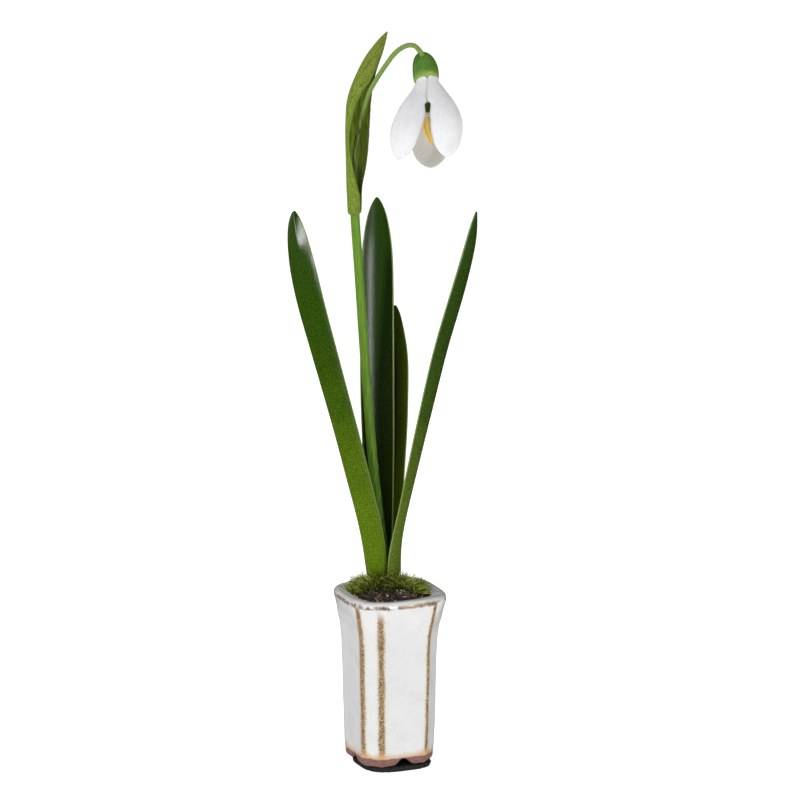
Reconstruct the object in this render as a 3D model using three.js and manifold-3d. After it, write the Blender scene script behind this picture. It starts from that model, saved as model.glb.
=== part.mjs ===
// A snowdrop in a small glazed pot: four strap leaves, a stem with its spathe, and one nodding flower.
// Millimetres, +Z up. The origin is the middle of the pad's underside, and the pot's sides face along X and Y.
import * as THREE from "three";
import { LoftGeometry } from "three/addons/geometries/LoftGeometry.js";
import { mergeVertices } from "three/addons/utils/BufferGeometryUtils.js";
import Module from "manifold-3d";

const wasm = await Module();
wasm.setup();

// ---- Driving dimensions ----

const GAP = 0.3; // between neighbouring pieces
const FOOT_Z = 2; // the pot's foot stands this high, on its pad
const FLOOR_Z = 6.5; // inside floor of the pot
const BLOCK_TOP_Z = 52;
const SOIL_EDGE_Z = 60.6;
const SOIL_RISE = 2; // the soil is mounded towards the middle
const SOCKET_Z = 44; // leaves and stem are pushed into the block down to here

const CORNER_RATIO = 1.15; // a corner facet's distance from the axis, over a side's
const ARC_STEPS = 3; // steps in the round between a side and a corner facet

const PLANT_TURN = THREE.MathUtils.degToRad(-23); // the plant's broad view, turned about the pot's axis

const colour = (hex, roughness) => new THREE.MeshStandardMaterial({ color: hex, roughness });
const FINISH = {
  glaze: colour(0xe9eae9, 0.28),
  pad: colour(0x1b1c1d, 0.9),
  foam: colour(0x4b4438, 0.95),
  soil: colour(0x2b2019, 0.95),
  moss: colour(0x5c7a1e, 0.9),
  leaf: colour(0x2f5213, 0.35),
  stem: colour(0x5f9334, 0.45),
  spathe: colour(0x6f8a2c, 0.8),
  ovary: colour(0x4b8a26, 0.4),
  petal: colour(0xe6e6ea, 0.6),
  innerPetal: colour(0xd9dccb, 0.6),
  stamen: colour(0xd6a32a, 0.6),
};

const root = new THREE.Group();
const plant = new THREE.Group(); // in here, +X is across the broad view and -Y is towards its front
plant.rotation.z = PLANT_TURN;
root.add(plant);

function add(group, name, geometry, finish) {
  const mesh = new THREE.Mesh(geometry, FINISH[finish]);
  mesh.name = name;
  group.add(mesh);
  return mesh;
}

// ---- Solids, joined and cut ----

function solidOf(geometry) {
  const bare = new THREE.BufferGeometry().setAttribute("position", geometry.getAttribute("position").clone());
  bare.setIndex(geometry.index);
  const merged = mergeVertices(bare, 1e-3);
  return new wasm.Manifold(
    new wasm.Mesh({
      numProp: 3,
      vertProperties: merged.attributes.position.array,
      triVerts: new Uint32Array(merged.index.array),
    }),
  );
}

function geometryOf(solid) {
  const { vertProperties, triVerts } = solid.getMesh();
  return new THREE.BufferGeometry()
    .setAttribute("position", new THREE.BufferAttribute(vertProperties, 3))
    .setIndex(new THREE.BufferAttribute(triVerts, 1));
}

const carve = (geometry, cutters) =>
  geometryOf(cutters.reduce((solid, cutter) => solid.subtract(solidOf(cutter)), solidOf(geometry)));

const loft = (sections) => new LoftGeometry(sections, { capStart: true, capEnd: true });

// ---- Pot ----

// A ring round the pot: a square with its corners cut, where sides and corner facets meet in small arcs.
function octagonRing(z, side, radius) {
  const eighth = Math.PI / 4;
  const direction = (angle) => new THREE.Vector3(Math.cos(angle), Math.sin(angle), 0);
  const ring = [];
  for (let facet = 0; facet < 8; facet++) {
    const distances = [side, side * CORNER_RATIO].map((d) => d - radius);
    if (facet % 2) distances.reverse();
    const [here, next] = distances;
    // Where the two facets' lines, moved in by the radius, cross.
    const centre = new THREE.Vector3(0, 0, z)
      .addScaledVector(direction(facet * eighth), (here - next * Math.SQRT1_2) * 2)
      .addScaledVector(direction((facet + 1) * eighth), (next - here * Math.SQRT1_2) * 2);
    for (let step = 0; step <= ARC_STEPS; step++)
      ring.push(centre.clone().addScaledVector(direction((facet + step / ARC_STEPS) * eighth), radius));
  }
  return ring;
}

const octagonLoft = (rings) => loft(rings.map((ring) => octagonRing(...ring)));

// Height, half-width between opposite sides, and edge radius, each going up.
const OUTSIDE = [
  [FOOT_Z, 12.7, 1.6],
  [3, 13.3, 1.5],
  [8, 13.7, 1.4],
  [23, 14.1, 1.4],
  [36, 14.3, 1.4],
  [44.5, 14.6, 1.5],
  [51, 15.1, 1.8],
  [55.5, 15.8, 2.8],
  [58.8, 16.8, 4.6],
  [60.5, 17.4, 6],
  [61.7, 17.3, 7],
  [62.4, 16.6, 7.4],
  [62.7, 15.9, 7.6],
];
const HOLLOW = [
  [FLOOR_Z, 8.6, 2.4],
  [7.6, 9.9, 2.4],
  [12, 10.6, 2.4],
  [44, 11.2, 2.6],
  [52, 11.8, 3.6],
  [57, 12.8, 5.4],
  [60.6, 13.8, 7.4],
  [61.8, 14.6, 7.6],
  [62.8, 15.7, 7.6],
];
const RECESS = [
  [FOOT_Z - 0.1, 10, 1.5],
  [4.5, 9.8, 1.5],
];

const ARCH_WIDTH = 8;
const ARCH_HEIGHT = 2.4;

// The gap under one side of the foot, as a low bell-shaped arch run right through the pot.
function archCutter() {
  const arch = new THREE.Shape();
  arch.moveTo(-ARCH_WIDTH / 2 - 1, -1);
  arch.lineTo(-ARCH_WIDTH / 2, 0);
  arch.bezierCurveTo(-ARCH_WIDTH / 4, 0.4, -ARCH_WIDTH / 4, ARCH_HEIGHT, 0, ARCH_HEIGHT);
  arch.bezierCurveTo(ARCH_WIDTH / 4, ARCH_HEIGHT, ARCH_WIDTH / 4, 0.4, ARCH_WIDTH / 2, 0);
  arch.lineTo(ARCH_WIDTH / 2 + 1, -1);
  const length = 40;
  return new THREE.ExtrudeGeometry(arch, { depth: length, bevelEnabled: false, curveSegments: 6 })
    .translate(0, 0, -length / 2)
    .rotateX(Math.PI / 2)
    .translate(0, 0, FOOT_Z);
}

const arches = [archCutter(), archCutter().rotateZ(Math.PI / 2)];
add(
  root,
  "ceramic_pot",
  carve(octagonLoft(OUTSIDE), [octagonLoft(HOLLOW), octagonLoft(RECESS), ...arches]),
  "glaze",
);

const PAD = [
  [0, 12.4, 2.2],
  [FOOT_Z - GAP, 12.7, 2.2],
];
add(root, "base_pad", octagonLoft(PAD), "pad");

// A ring that fills the hollow at a height, but for a gap.
const hollow = new THREE.LinearInterpolant(
  HOLLOW.map(([z]) => z),
  HOLLOW.flatMap(([, side, radius]) => [side, radius]),
  2,
);
const fillRing = (z, gap = GAP) => {
  const [side, radius] = hollow.evaluate(z);
  return octagonRing(z, side - gap, radius);
};

// ---- Sweeps along a spine ----

const spineCurve = (points) =>
  new THREE.CatmullRomCurve3(points.map((p) => new THREE.Vector3(...p)), false, "centripetal");

// Values between stations, where each station is a place along the spine from 0 to 1 and then its values.
const between = (Interpolant, stations) =>
  new Interpolant(
    stations.map(([t]) => t),
    stations.flatMap(([, ...values]) => values),
    stations[0].length - 1,
  );

// The directions at a place on a spine: out is as near as can be to an angle round from the plant's front.
function frameAt(curve, t, degrees) {
  const angle = THREE.MathUtils.degToRad(degrees);
  const tangent = curve.getTangentAt(t);
  const out = new THREE.Vector3(Math.sin(angle), -Math.cos(angle), 0).projectOnPlane(tangent).normalize();
  return { centre: curve.getPointAt(t), out, right: new THREE.Vector3().crossVectors(tangent, out) };
}

// A sheet's closed ring: along its inner face, then back along its outer one.
function sheetRing(steps, surface) {
  const shares = Array.from({ length: steps + 1 }, (_, i) => (2 * i) / steps - 1);
  return [...shares.map((s) => surface(s, -1)), ...shares.reverse().map((s) => surface(s, 1))];
}

// Places along a spine, closer together towards its end.
const placesTo = (rows) => Array.from({ length: rows + 1 }, (_, row) => 1 - (1 - row / rows) ** 1.5);

// A blade is a strip along a spine, curled about it. Its stations give half-width, half the angle that the strip
// is curled through, the way its round side faces, and thickness. The spine runs along the crest of the curl, or
// else half-way between the crest and the margins.
function bladeSections({ spine, stations, crest = false, rows = 20, across = 6, grow = 0 }) {
  const curve = spineCurve(spine);
  const shape = between(THREE.CubicInterpolant, stations);
  return placesTo(rows).map((t) => {
    const [halfWidth, curl, faces, thickness] = shape.evaluate(t);
    const { centre, out, right } = frameAt(curve, t, faces);
    const halfAngle = THREE.MathUtils.degToRad(curl);
    const radius = halfWidth / halfAngle;
    const reach = halfAngle * (1 + grow / halfWidth);
    const back = crest ? radius : (radius * (1 + Math.cos(halfAngle))) / 2;
    return sheetRing(across, (share, side) => {
      const angle = share * reach;
      const edge = 1 - 0.45 * share * share; // thinner towards its margins
      const depth = radius + side * (0.5 * thickness * edge + grow);
      return centre
        .clone()
        .addScaledVector(out, depth * Math.cos(angle) - back)
        .addScaledVector(right, -depth * Math.sin(angle));
    });
  });
}

// A round rod along a spine, with its radius at the start and the end.
function rodSections({ spine, radii: [start, end], rows = 20, sides = 10, grow = 0 }) {
  const curve = spineCurve(spine);
  const frames = curve.computeFrenetFrames(rows);
  return Array.from({ length: rows + 1 }, (_, row) => {
    const radius = THREE.MathUtils.lerp(start, end, row / rows) + grow;
    return Array.from({ length: sides }, (_, i) => {
      const angle = (2 * Math.PI * i) / sides;
      return curve
        .getPointAt(row / rows)
        .addScaledVector(frames.normals[row], radius * Math.cos(angle))
        .addScaledVector(frames.binormals[row], radius * Math.sin(angle));
    });
  });
}

// ---- Leaves and stem ----

const LEAVES = {
  leaf_left: {
    spine: [
      [-3.9, -3.1, SOCKET_Z],
      [-3.9, -3.1, 58],
      [-4.5, -3.4, 69.2],
      [-5.2, -3.8, 78.3],
      [-7.3, -4.3, 89.2],
      [-10.9, -5.1, 103.8],
      [-14.4, -5.8, 118.3],
      [-18.2, -6.6, 132.8],
      [-23, -7.8, 151],
      [-27.7, -9.2, 169.1],
      [-30.3, -10.2, 181.8],
      [-31.8, -10.9, 190.8],
      [-32.5, -11.3, 196.6],
      [-32.9, -11.6, 201.3],
    ],
    stations: [
      [0, 1.5, 30, -25, 1.5],
      [0.087, 1.6, 35, -22, 1.5],
      [0.115, 3.6, 48, -20, 1.3],
      [0.157, 4.6, 50, -18, 1.2],
      [0.213, 4.8, 46, -20, 1.1],
      [0.283, 4.8, 40, -22, 1],
      [0.376, 4.9, 37, -22, 1],
      [0.562, 5.1, 36, -22, 1],
      [0.68, 5.35, 36, -22, 1],
      [0.8, 5.6, 36, -22, 1],
      [0.835, 5.55, 36, -22, 1],
      [0.877, 5.3, 36, -22, 1],
      [0.92, 4.5, 36, -22, 0.95],
      [0.955, 3.6, 34, -22, 0.9],
      [0.977, 2.5, 30, -22, 0.8],
      [0.99, 1.6, 26, -22, 0.7],
      [1, 0.4, 20, -22, 0.5],
    ],
  },
  leaf_right: {
    spine: [
      [2.5, -3.2, SOCKET_Z],
      [2.4, -3.2, 58],
      [2, -3.2, 68.9],
      [2.2, -3.4, 78],
      [4.4, -3.8, 89],
      [7.6, -4.4, 103.6],
      [10.8, -5, 118.1],
      [14.1, -5.8, 132.6],
      [18.3, -6.8, 150.8],
      [23.4, -8, 168.9],
      [26.7, -8.8, 181.5],
      [28.7, -9.2, 190.5],
      [29.6, -9.4, 196.9],
      [30.2, -9.5, 200.8],
    ],
    stations: [
      [0, 1.5, 30, 40, 1.5],
      [0.087, 1.6, 35, 44, 1.5],
      [0.115, 3.5, 46, 47, 1.3],
      [0.155, 4.5, 48, 50, 1.2],
      [0.212, 4.1, 42, 60, 1.1],
      [0.282, 3.9, 36, 66, 1],
      [0.375, 4.6, 34, 66, 1],
      [0.468, 4.8, 34, 63, 1],
      [0.561, 5.1, 34, 61, 1],
      [0.678, 5.3, 34, 60, 1],
      [0.796, 5.4, 34, 60, 1],
      [0.878, 4.8, 34, 60, 1],
      [0.91, 4.4, 34, 60, 0.95],
      [0.935, 3.9, 34, 60, 0.9],
      [0.96, 3, 32, 60, 0.85],
      [0.98, 1.9, 28, 60, 0.75],
      [1, 0.4, 20, 60, 0.5],
    ],
  },
  leaf_centre: {
    spine: [
      [-2.4, 3.5, SOCKET_Z],
      [-2.4, 3.5, 58],
      [-2.9, 3.4, 67.3],
      [-3.3, 3.5, 87.1],
      [-3.6, 3.7, 101.5],
      [-3.8, 3.9, 115.8],
      [-4.1, 4.1, 130.1],
      [-4.2, 4.4, 151.6],
      [-4.1, 4.8, 173],
      [-4.1, 5.2, 190.8],
      [-4.2, 5.4, 202.5],
    ],
    stations: [
      [0, 1.5, 30, 180, 1.5],
      [0.088, 1.6, 35, 180, 1.5],
      [0.115, 3.2, 48, 180, 1.3],
      [0.147, 4, 50, 180, 1.2],
      [0.272, 5.4, 48, 180, 1],
      [0.363, 5.9, 44, 180, 1],
      [0.453, 6.3, 43, 180, 1],
      [0.6, 6.6, 42, 180, 1],
      [0.72, 6.5, 42, 180, 1],
      [0.814, 6.3, 41, 180, 1],
      [0.871, 6, 40, 180, 1],
      [0.9, 5.6, 40, 180, 1],
      [0.925, 4.9, 38, 180, 0.95],
      [0.95, 4.1, 36, 180, 0.9],
      [0.976, 2.85, 32, 180, 0.8],
      [0.989, 1.8, 28, 180, 0.7],
      [1, 0.4, 20, 180, 0.5],
    ],
  },
  leaf_short: {
    spine: [
      [1.3, 6.9, SOCKET_Z],
      [1.3, 6.9, 58],
      [1.2, 6.8, 66.4],
      [1.7, 7.2, 86.1],
      [2.3, 7.6, 104.1],
      [2.8, 8, 129.2],
      [2.8, 8.3, 143.6],
      [2.4, 8.4, 154.3],
      [2.1, 8.5, 163.2],
    ],
    stations: [
      [0, 1.4, 30, 165, 1.4],
      [0.117, 1.5, 35, 165, 1.4],
      [0.16, 2.8, 44, 165, 1.2],
      [0.19, 3.1, 46, 165, 1.1],
      [0.353, 3.3, 44, 168, 0.9],
      [0.504, 3.7, 42, 170, 0.9],
      [0.641, 4.4, 42, 170, 0.9],
      [0.73, 4.5, 42, 170, 0.9],
      [0.824, 4.6, 42, 170, 0.9],
      [0.86, 4.4, 42, 170, 0.9],
      [0.896, 3.9, 40, 170, 0.85],
      [0.932, 3.1, 36, 170, 0.8],
      [0.967, 2.2, 32, 170, 0.7],
      [0.985, 1.5, 28, 170, 0.6],
      [1, 0.35, 20, 170, 0.5],
    ],
  },
};

const STEM = {
  spine: [
    [-1.4, 0.2, SOCKET_Z],
    [-1.4, 0.2, 60],
    [-1.9, 0.1, 76],
    [-3.4, 0, 88.1],
    [-5, 0, 102.5],
    [-6.3, 0, 116.9],
    [-7.4, 0, 131.3],
    [-8.9, 0, 152.8],
    [-10, 0, 170],
    [-11, 0, 185],
    [-11.8, 0, 195.6],
    [-12, 0, 204],
  ],
  radii: [1.75, 1.6],
  sides: 12,
};

for (const [name, leaf] of Object.entries(LEAVES)) add(plant, name, loft(bladeSections(leaf)), "leaf");
add(plant, "flower_stem", loft(rodSections(STEM)), "stem");

// ---- Soil, moss and the block that holds the stems ----

// The stems and leaves, each grown by the gap, as cutters in the pot's frame.
const inPotFrame = (geometry) => geometry.rotateZ(PLANT_TURN);
const sockets = [
  ...Object.values(LEAVES).map((leaf) => loft(bladeSections({ ...leaf, grow: GAP }))),
  loft(rodSections({ ...STEM, grow: GAP })),
].map((socket) => inPotFrame(socket).translate(0, 0, -GAP));

const blockRings = [FLOOR_Z + GAP, 7.9, 12, 44, BLOCK_TOP_Z - GAP].map((z) => fillRing(z));
add(root, "planting_block", carve(loft(blockRings), sockets), "foam");

// The soil fills the hollow up to its edge and rises in a low mound: the ring shrinks as it climbs.
function soilLoft(gap) {
  const mound = [0.85, 0.65, 0.4, 0.15].map((share) =>
    fillRing(SOIL_EDGE_Z, gap).map((p) =>
      p.multiplyScalar(share).setZ(SOIL_EDGE_Z + SOIL_RISE * (1 - share * share)),
    ),
  );
  return loft([...[BLOCK_TOP_Z, 57, SOIL_EDGE_Z].map((z) => fillRing(z, gap)), ...mound]);
}
add(root, "soil", carve(soilLoft(GAP), sockets), "soil");

// Moss tufts are low domes on the soil: centre in the plant's frame, then half-sizes.
const TUFTS = {
  moss_left: { at: [-8.8, 1.6, 60.8], size: [5, 6, 4.8] },
  moss_right: { at: [8.2, -0.3, 60.8], size: [4.9, 5.8, 4.2] },
  moss_front: { at: [-1.2, -5.8, 61], size: [5, 2.6, 3.8] },
  moss_back: { at: [-3.2, 8.6, 60.8], size: [4.2, 2.5, 4] },
};
const soilTop = soilLoft(0).translate(0, 0, GAP);
for (const [name, { at, size }] of Object.entries(TUFTS)) {
  const dome = new THREE.SphereGeometry(1, 18, 10).scale(...size).translate(...at);
  add(root, name, carve(inPotFrame(dome), [soilTop, ...sockets]), "moss");
}

// ---- Spathe and pedicel ----

// The spathe is a sheet folded round its spine, with the fold to the left. Its stations give half the width from
// the fold across to the margins, half the depth, and how far round the front and back margins come, in degrees.
const SPATHE_FOLD_FACES = -100;
const SPATHE_THICKNESS = 0.5;
const SPATHE = {
  spine: [
    [-12, 0.3, 197.7],
    [-11.9, 0.3, 202.7],
    [-12.1, 0.3, 206.2],
    [-11.7, 0.4, 209.8],
    [-11.1, 0.5, 214],
    [-10.6, 0.6, 220],
    [-10.5, 0.6, 223.2],
    [-10.3, 0.6, 229.6],
    [-10.1, 0.5, 236.7],
    [-9.6, 0.4, 239.6],
    [-8.6, 0.2, 244.1],
    [-8, 0, 246.6],
    [-6.1, -0.2, 251.6],
    [-4.2, -0.4, 255.3],
    [-2.2, -0.5, 259.3],
    [-0.6, -0.6, 262.3],
  ],
  stations: [
    [0, 2.3, 2.3, 165, 165],
    [0.075, 2.5, 2.4, 165, 165],
    [0.127, 2.5, 2.5, 150, 165],
    [0.18, 3, 2.6, 106, 150],
    [0.243, 3.7, 2.7, 79, 141],
    [0.333, 4.3, 2.8, 55, 137],
    [0.38, 4.5, 2.8, 48, 136],
    [0.476, 4.7, 2.8, 61, 137],
    [0.583, 4.6, 2.5, 82, 142],
    [0.626, 4.4, 2.3, 91, 144],
    [0.695, 3.8, 1.8, 111, 146],
    [0.733, 3.3, 1.5, 140, 160],
    [0.814, 2.75, 1.1, 165, 165],
    [0.875, 2.2, 0.9, 165, 165],
    [0.942, 1.3, 0.6, 165, 165],
    [1, 0.15, 0.2, 165, 165],
  ],
};

function foldedSections({ spine, stations }, rows = 24, across = 12) {
  const curve = spineCurve(spine);
  const shape = between(THREE.LinearInterpolant, stations);
  return placesTo(rows).map((t) => {
    const [reach, depth, front, back] = shape.evaluate(t);
    const { centre, out, right } = frameAt(curve, t, SPATHE_FOLD_FACES);
    return sheetRing(across, (share, side) => {
      const angle = THREE.MathUtils.degToRad(share < 0 ? share * front : share * back);
      const outside = (side * Math.min(SPATHE_THICKNESS, depth)) / 2;
      return centre
        .clone()
        .addScaledVector(out, (reach + outside) * Math.cos(angle))
        .addScaledVector(right, -(depth + outside) * Math.sin(angle));
    });
  });
}
add(plant, "spathe", loft(foldedSections(SPATHE)), "spathe");

const PEDICEL = {
  spine: [
    [-12, 0, 204.4],
    [-11.9, 0, 210],
    [-11.9, 0, 217],
    [-11.4, -0.2, 223],
    [-10.8, -0.4, 226.5],
    [-9.7, -0.8, 231.1],
    [-8.4, -1.1, 236.5],
    [-6.6, -1.6, 241.7],
    [-5.4, -2, 244],
    [-3.9, -2.4, 246.6],
    [-2.2, -2.8, 249.4],
    [-0.5, -3.2, 251.9],
    [1.2, -3.6, 254.4],
    [3.2, -3.9, 256.5],
    [5.6, -4.1, 258],
    [7.5, -4.3, 258.5],
    [9.2, -4.4, 258.1],
    [10.5, -4.5, 256.9],
    [11.1, -4.5, 255.9],
  ],
  radii: [0.7, 0.9],
  rows: 36,
  sides: 8,
};
add(plant, "pedicel", loft(rodSections(PEDICEL)), "stem");

// ---- Flower: built hanging along -Z from the ovary's lower edge, then tilted and placed ----

const FLOWER_AT = [13.2, -5, 246.5];
const FLOWER_TILT = THREE.MathUtils.degToRad(24); // its mouth swings forwards
const OVARY_LEAN = THREE.MathUtils.degToRad(-6); // the ovary and the stamens lean a little to the right
const STAMEN_LEAN = THREE.MathUtils.degToRad(-4);
const flower = new THREE.Group();
flower.position.set(...FLOWER_AT);
flower.rotation.x = -FLOWER_TILT;
plant.add(flower);

// Height above the petals' joint, radius, and how far it bends to the left. Its lower end is necked in, and the
// outer petals' bases wrap round the neck.
const OVARY = [
  [0, 3, 0],
  [1.1, 3.1, 0],
  [1.6, 4.1, 0],
  [2.8, 4.35, 0.15],
  [5, 4.05, 0.35],
  [7, 3.35, 0.55],
  [8.4, 2.2, 0.7],
  [9, 1, 0.8],
];
const circle = (radius, z, sides, x = 0) =>
  Array.from({ length: sides }, (_, i) => {
    const angle = (2 * Math.PI * i) / sides;
    return new THREE.Vector3(x + radius * Math.cos(angle), radius * Math.sin(angle), z);
  });
const ovaryRings = OVARY.map(([z, radius, bend]) => circle(radius, z, 18, -bend));
add(flower, "ovary", loft(ovaryRings), "ovary").rotation.y = OVARY_LEAN;

// Each outer petal's spine is given as distance out from the flower's axis and height.
const OUTER_PETALS = {
  outer_petal_left: {
    turn: -53,
    width: 1.03,
    line: [
      [4.05, 0.7],
      [4.05, -1],
      [5, -4.2],
      [7.2, -6.4],
      [9.5, -9.2],
      [11.2, -12.3],
      [12.7, -15.6],
      [13.6, -18.7],
      [13.7, -21.6],
      [13.4, -24],
      [12.5, -26.6],
      [11.4, -29.7],
    ],
  },
  outer_petal_right: {
    turn: 48,
    width: 1,
    line: [
      [4.05, 0.7],
      [4.2, -1],
      [6.1, -3.5],
      [8.1, -6],
      [10, -8],
      [11.8, -10.8],
      [13.1, -14],
      [13.5, -17],
      [13, -20],
      [12.1, -22.9],
      [10.8, -25.4],
      [8.6, -28.5],
    ],
  },
  outer_petal_back: {
    turn: 172,
    width: 0.88,
    line: [
      [4.05, 0.7],
      [4.05, -1],
      [5, -3.8],
      [7, -6.5],
      [9.2, -9.5],
      [11.2, -13.5],
      [12, -18],
      [11.7, -22],
      [10.6, -25.6],
      [9.2, -29.4],
    ],
  },
};
const petalStations = (width) =>
  [
    [0, 2.6, 38, 0, 0.5],
    [0.07, 3.4, 49, 0, 0.7],
    [0.163, 4.6, 60, 0, 0.8],
    [0.256, 6.4, 74, 0, 0.8],
    [0.3, 7.3, 78, 0, 0.8],
    [0.395, 9, 81, 0, 0.8],
    [0.49, 9.8, 79, 0, 0.8],
    [0.61, 10, 72, 0, 0.8],
    [0.72, 9.6, 64, 0, 0.8],
    [0.814, 8.6, 55, 0, 0.8],
    [0.888, 7.2, 45, 0, 0.8],
    [0.944, 5.3, 35, 0, 0.75],
    [0.977, 3.3, 24, 0, 0.7],
    [1, 0.7, 14, 0, 0.6],
  ].map(([t, halfWidth, ...rest]) => [t, halfWidth * THREE.MathUtils.lerp(1, width, Math.min(1, 2 * t)), ...rest]);
const INNER_PETAL = {
  spine: [
    [0, -2.2, -0.9],
    [0, -2.8, -4.4],
    [0, -3.9, -9],
    [0, -4.6, -12],
    [0, -4.8, -14.2],
  ],
  stations: [
    [0, 1.6, 45, 0, 0.6],
    [0.3, 2.4, 50, 0, 0.6],
    [0.65, 3.9, 54, 0, 0.6],
    [0.88, 3.7, 50, 0, 0.6],
    [1, 2.2, 30, 0, 0.5],
  ],
  crest: true,
  rows: 8,
};
const INNER_TURNS = { inner_petal_front: 0, inner_petal_left: -120, inner_petal_right: 120 };

for (const [name, { turn, width, line }] of Object.entries(OUTER_PETALS)) {
  const spine = line.map(([distance, z]) => [0, -distance, z]);
  const petal = { spine, stations: petalStations(width), crest: true, rows: 14, across: 8 };
  add(flower, name, loft(bladeSections(petal)), "petal").rotation.z = THREE.MathUtils.degToRad(turn);
}
for (const [name, turn] of Object.entries(INNER_TURNS))
  add(flower, name, loft(bladeSections(INNER_PETAL)), "innerPetal").rotation.z = THREE.MathUtils.degToRad(turn);

// Six stamens stand round the style: a thin filament, then a pointed anther that closes in over the style.
// Each ring's height and radius, and how far out from the style it stands.
const STAMEN = [
  [-23, 0.12, 0.7],
  [-20.5, 0.5, 1.35],
  [-16, 0.8, 1.95],
  [-13, 0.75, 1.95],
  [-11.5, 0.3, 1.75],
  [-0.9, 0.3, 1.2],
];
const stamenRings = STAMEN.map(([z, radius, out]) =>
  circle(radius, z, 8).map((p) => p.add(new THREE.Vector3(0, -out, 0))),
);
const core = new THREE.Group();
core.rotation.y = STAMEN_LEAN;
flower.add(core);
for (let i = 0; i < 6; i++)
  add(core, `stamen_${i + 1}`, loft(stamenRings), "stamen").rotation.z = (Math.PI / 3) * (i + 0.5);

const STYLE = [
  [-24, 0.25],
  [-0.9, 0.3],
];
add(core, "style", loft(STYLE.map(([z, radius]) => circle(radius, z, 8))), "innerPetal");

export default root;
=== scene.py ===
"""The looks of a potted snowdrop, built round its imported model. Metres, +Z up."""

import math
import random
from contextlib import contextmanager

import bmesh
import bpy
import numpy as np
from mathutils import Matrix, Vector, noise
from mathutils.bvhtree import BVHTree


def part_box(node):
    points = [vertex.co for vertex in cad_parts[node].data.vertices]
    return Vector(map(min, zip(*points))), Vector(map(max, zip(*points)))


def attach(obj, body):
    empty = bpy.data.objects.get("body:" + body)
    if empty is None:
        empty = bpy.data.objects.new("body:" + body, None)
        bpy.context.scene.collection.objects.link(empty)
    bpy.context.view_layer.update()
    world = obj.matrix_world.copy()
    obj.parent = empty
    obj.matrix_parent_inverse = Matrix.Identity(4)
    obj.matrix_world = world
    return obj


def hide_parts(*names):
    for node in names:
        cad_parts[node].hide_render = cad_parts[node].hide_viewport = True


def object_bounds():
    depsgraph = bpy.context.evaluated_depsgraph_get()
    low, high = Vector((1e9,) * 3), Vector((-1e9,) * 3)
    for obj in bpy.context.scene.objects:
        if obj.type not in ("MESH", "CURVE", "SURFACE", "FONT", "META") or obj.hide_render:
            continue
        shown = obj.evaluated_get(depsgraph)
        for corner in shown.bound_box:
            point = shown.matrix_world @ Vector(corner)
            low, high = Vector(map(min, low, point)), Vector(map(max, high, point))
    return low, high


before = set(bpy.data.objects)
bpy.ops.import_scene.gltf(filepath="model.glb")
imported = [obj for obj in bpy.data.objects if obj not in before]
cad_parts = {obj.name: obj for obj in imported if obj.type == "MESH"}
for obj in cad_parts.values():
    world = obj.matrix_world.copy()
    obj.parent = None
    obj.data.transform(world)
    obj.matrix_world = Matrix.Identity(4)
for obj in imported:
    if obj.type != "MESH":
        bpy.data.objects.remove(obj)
cad_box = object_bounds()
MM = 0.001
UP = Vector((0, 0, 1))

# ---- The plant's own directions: its broad view is turned about the pot's axis ----

PLANT_TURN = math.radians(-23)
RIGHT = Vector((math.cos(PLANT_TURN), math.sin(PLANT_TURN), 0))
FRONT = RIGHT.cross(UP)
FLOWER_TILT = math.radians(24)  # the flower's mouth swings forwards
FLOWER = (
    Matrix.Rotation(PLANT_TURN, 4, "Z")
    @ Matrix.Translation(Vector((13.2, -5, 246.5)) * MM)
    @ Matrix.Rotation(-FLOWER_TILT, 4, "X")
)
FLOWER_UP = FLOWER.to_3x3() @ UP


# ---- Camera, floor and lights ----

VIEW_ELEVATION = math.radians(14)
VIEW_DISTANCE = 3.0
VIEW_WIDTH = 0.279
SENSOR = 36.0
AIM = RIGHT * 3.8 * MM + UP * cad_box[1].z / 2


def add_camera():
    data = bpy.data.cameras.new("camera")
    data.sensor_width = SENSOR
    data.lens = SENSOR * VIEW_DISTANCE / VIEW_WIDTH
    data.clip_end = 50
    camera = bpy.data.objects.new("camera", data)
    back = FRONT * math.cos(VIEW_ELEVATION) + UP * math.sin(VIEW_ELEVATION)
    camera.location = AIM + back * VIEW_DISTANCE
    camera.rotation_euler = (-back).to_track_quat("-Z", "Y").to_euler()
    bpy.context.scene.collection.objects.link(camera)
    bpy.context.scene.camera = camera


def add_softbox(name, turn, elevation, distance, width, height, power, lights_all=True):
    """A soft area light that looks at the plant, turned from the front towards the right. One that does not light
    all is seen only in the gloss."""
    data = bpy.data.lights.new(name, "AREA")
    data.shape = "RECTANGLE"
    data.size = width
    data.size_y = height
    data.energy = power
    light = bpy.data.objects.new(name, data)
    turn, elevation = math.radians(turn), math.radians(elevation)
    level = FRONT * math.cos(turn) + RIGHT * math.sin(turn)
    away = level * math.cos(elevation) + UP * math.sin(elevation)
    light.visible_camera = False
    light.visible_diffuse = lights_all
    light.location = AIM + away * distance
    light.rotation_euler = (-away).to_track_quat("-Z", "Y").to_euler()
    bpy.context.scene.collection.objects.link(light)


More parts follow.
